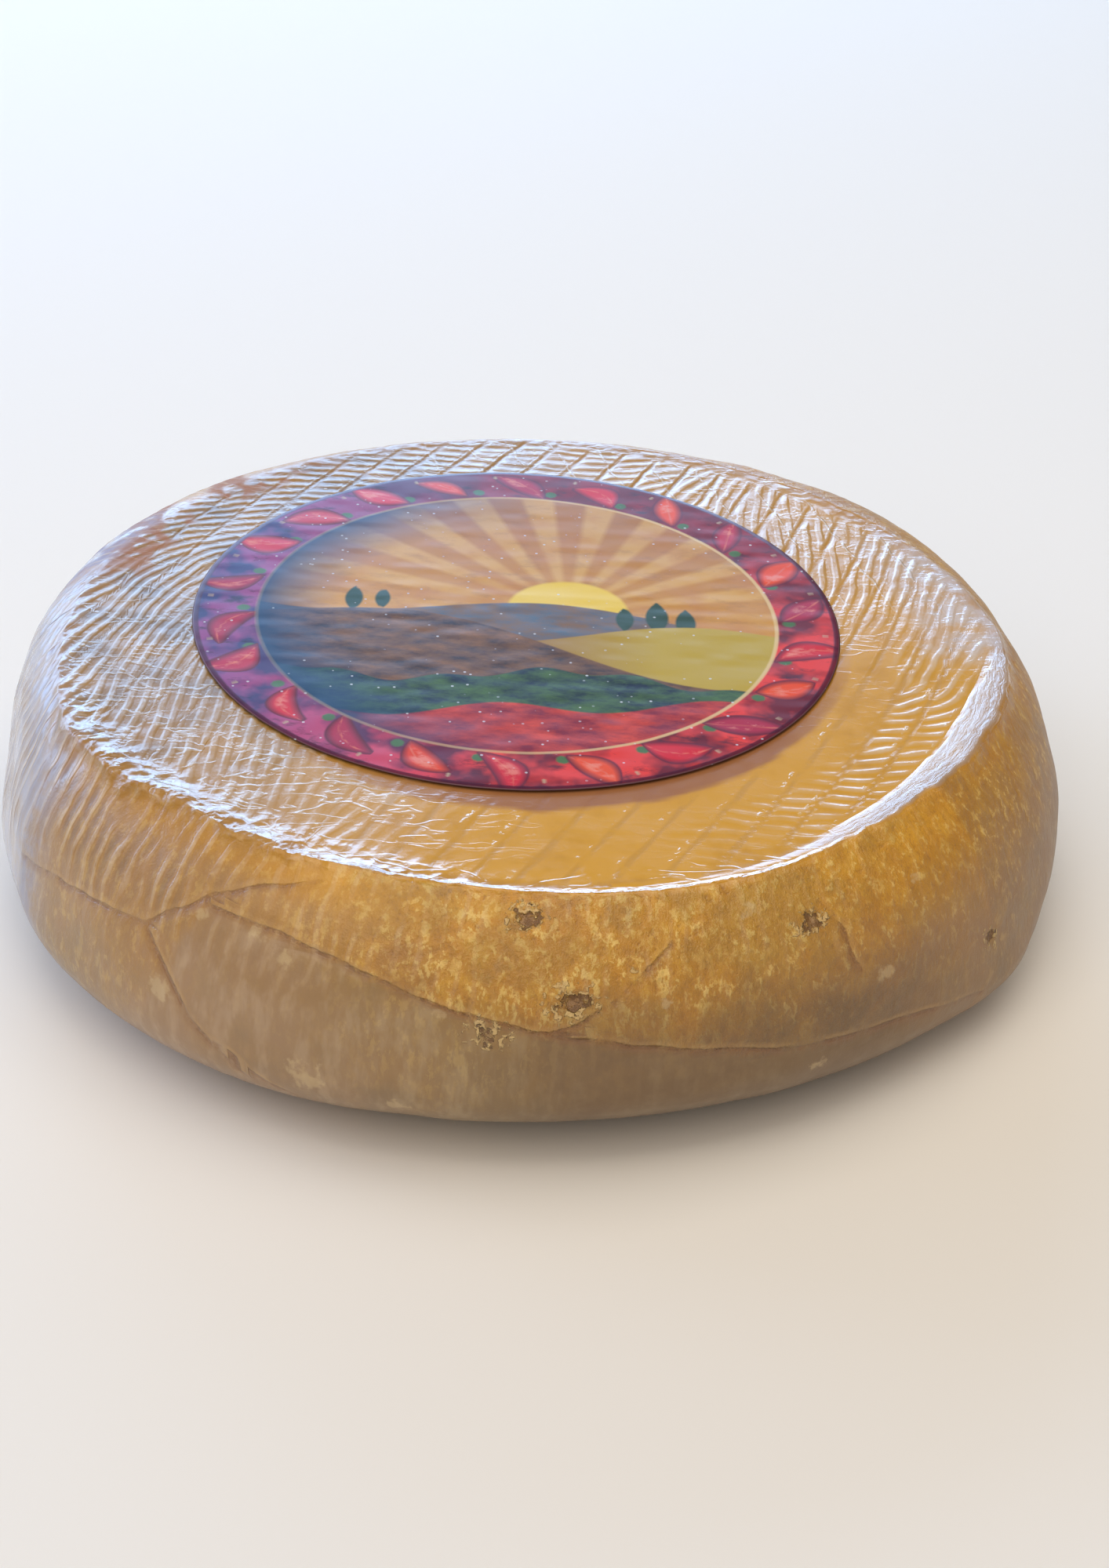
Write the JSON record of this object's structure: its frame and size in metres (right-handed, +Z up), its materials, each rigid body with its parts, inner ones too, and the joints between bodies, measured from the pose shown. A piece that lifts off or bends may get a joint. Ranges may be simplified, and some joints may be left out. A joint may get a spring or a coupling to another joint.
{
  "type": "chili raclette cheese wheel",
  "caption": "Squat round wheel of washed-rind chili raclette cheese with a mat-printed top, cloth folds in its side and a round paper label lying on top.",
  "frame": {"origin": "centre of the wheel's bounding box at the level of its flat bottom face", "axes": "+Z up along the wheel's axis out of the labelled top face, -Y towards the side shown in front, +X to the right"},
  "size_m": [0.2986, 0.2962, 0.0767],
  "materials": {
    "washed_rind": "moist washed rind, amber to ochre, satin to glossy",
    "label_paper": "glossy printed paper with fields of red, ochre, dark blue and green"
  },
  "bodies": {
    "root": {"cheese_wheel": "washed_rind", "label": "label_paper"}
  },
  "joints": []
}
